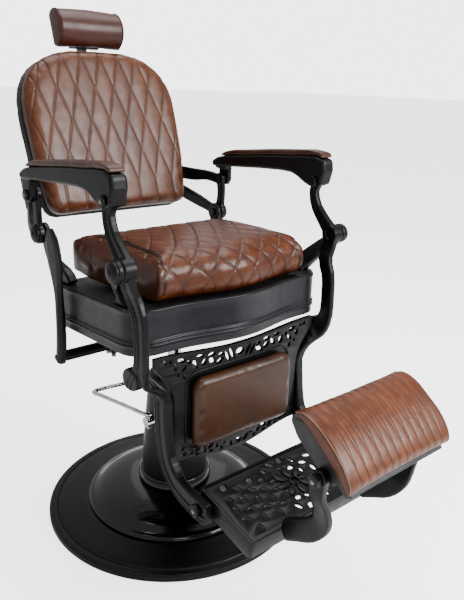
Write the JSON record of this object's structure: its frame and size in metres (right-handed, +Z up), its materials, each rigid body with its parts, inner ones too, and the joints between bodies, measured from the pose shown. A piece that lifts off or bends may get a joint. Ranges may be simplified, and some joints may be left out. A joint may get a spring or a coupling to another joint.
{
  "type": "hydraulic barber chair",
  "caption": "Hydraulic barber chair: round base, pump pedal, padded swivel seat, reclining back with headrest, armrests linked to the leg rest, pierced footplate and tilting foot pad.",
  "frame": {"origin": "centre of the base on the floor, on the axis of the pump column", "axes": "+Z up; the sitter faces -Y; +X is the sitter's left, so the recline paddle and the pump pedal are on the -X side"},
  "size_m": [0.7, 1.237, 1.324],
  "materials": {
    "cast_black": "satin black stoving enamel on cast metal",
    "apron_enamel": "satin grey-black enamel on pressed sheet steel",
    "gloss_black": "deep gloss black enamel",
    "shell_black": "satin moulded shell",
    "chrome": "polished chrome plate",
    "zinc": "zinc-plated steel",
    "steel": "turned steel",
    "leather": "semi-gloss brown leather, padded and quilted",
    "rubber": "black moulded rubber"
  },
  "bodies": {
    "base": {"floor_pad": "rubber", "base_plate": "cast_black", "base_cover": "gloss_black", "base_collar": "gloss_black", "column_sleeve": "cast_black", "pump_cylinder": "steel", "cylinder_bearing": "steel"},
    "pedal": {"pump_pivot": "chrome", "pump_pedal": "chrome"},
    "lift": {"ram": "chrome", "piston": "rubber", "swivel_bearing": "steel"},
    "seat": {"seat_apron": "apron_enamel", "seat_casting": "cast_black", "seat_plate": "cast_black", "seat_cushion": "leather", "front_bracket_r": "cast_black", "front_bracket_l": "cast_black", "rear_bracket_r": "cast_black", "rear_bracket_l": "cast_black", "rear_hub_pin_r": "cast_black", "rear_hub_pin_l": "cast_black", "front_hub_pin_r": "cast_black", "front_hub_pin_l": "cast_black", "handle_hanger": "cast_black"},
    "handle": {"recline_handle": "cast_black", "handle_shaft": "cast_black"},
    "back": {"back_board": "shell_black", "back_cushion": "leather", "back_bracket_r": "cast_black", "back_bracket_l": "cast_black", "rear_arm_pin_r": "cast_black", "rear_arm_pin_l": "cast_black", "headrest_socket": "cast_black"},
    "knob": {"headrest_knob": "cast_black"},
    "head_post": {"headrest_post": "steel"},
    "headrest": {"headrest_bracket": "cast_black", "headrest_cushion": "leather", "headrest_pin": "zinc"},
    "arm_r": {"armrest_r": "cast_black", "arm_pad_r": "leather"},
    "arm_l": {"armrest_l": "cast_black", "arm_pad_l": "leather"},
    "leg_rest": {"front_lever_r": "cast_black", "front_lever_l": "cast_black", "front_arm_pin_r": "cast_black", "front_arm_pin_l": "cast_black", "leg_panel": "cast_black", "calf_pad": "leather", "footplate": "cast_black", "foot_bolt_r": "zinc", "foot_bolt_l": "zinc", "foot_arm_r": "cast_black", "foot_arm_l": "cast_black", "pad_bolt_r": "zinc", "pad_bolt_l": "zinc"},
    "foot_pad": {"foot_cushion": "leather", "foot_shell": "shell_black"}
  },
  "joints": [
    {"name": "seat_lift", "type": "slide", "parent": "base", "child": "lift", "axis": [0, 0, 1], "range_m": [-0.12, 0.03]},
    {"name": "seat_swivel", "type": "hinge", "parent": "lift", "child": "seat", "pos_m": [0, 0, 0.58], "axis": [0, 0, 1], "continuous": true},
    {"name": "pedal_stroke", "type": "hinge", "parent": "base", "child": "pedal", "pos_m": [-0.09, -0.028, 0.288], "axis": [-1, 0, 0], "range_deg": [0, 22], "stiffness_Nm_per_rad": 6, "springref_deg": -11.46},
    {"name": "recline", "type": "hinge", "parent": "seat", "child": "back", "pos_m": [0, 0.177, 0.779], "axis": [-1, 0, 0], "range_deg": [0, 40]},
    {"name": "arm_pivot_r", "type": "hinge", "parent": "back", "child": "arm_r", "pos_m": [-0.292, 0.173, 0.877], "axis": [-1, 0, 0], "range_deg": [-45, 0]},
    {"name": "arm_pivot_l", "type": "hinge", "parent": "back", "child": "arm_l", "pos_m": [0.292, 0.173, 0.877], "axis": [-1, 0, 0], "range_deg": [-45, 0]},
    {"name": "leg_swing", "type": "hinge", "parent": "seat", "child": "leg_rest", "pos_m": [0, -0.268, 0.793], "axis": [-1, 0, 0], "range_deg": [0, 32.4]},
    {"name": "foot_pad_tilt", "type": "hinge", "parent": "leg_rest", "child": "foot_pad", "pos_m": [0, -0.68, 0.482], "axis": [1, 0, 0], "range_deg": [-20, 25]},
    {"name": "handle_turn", "type": "hinge", "parent": "seat", "child": "handle", "pos_m": [-0.22, 0.062, 0.492], "axis": [1, 0, 0], "range_deg": [0, 15], "stiffness_Nm_per_rad": 12, "springref_deg": -11.46},
    {"name": "headrest_slide", "type": "slide", "parent": "back", "child": "head_post", "axis": [0, 0.3135, 0.9496], "range_m": [0, 0.08]},
    {"name": "headrest_tilt", "type": "hinge", "parent": "head_post", "child": "headrest", "pos_m": [0, 0.477, 1.2583], "axis": [-1, 0, 0], "range_deg": [0, 30]},
    {"name": "knob_turn", "type": "hinge", "parent": "back", "child": "knob", "pos_m": [0.04, 0.425, 1.1007], "axis": [1, 0, 0], "range_deg": [-180, 180]}
  ],
  "couplings": [
    {"joint": "arm_pivot_r", "follows": "recline", "ratio": -1.1138},
    {"joint": "arm_pivot_l", "follows": "recline", "ratio": -1.1138},
    {"joint": "leg_swing", "follows": "recline", "ratio": 0.8086}
  ]
}
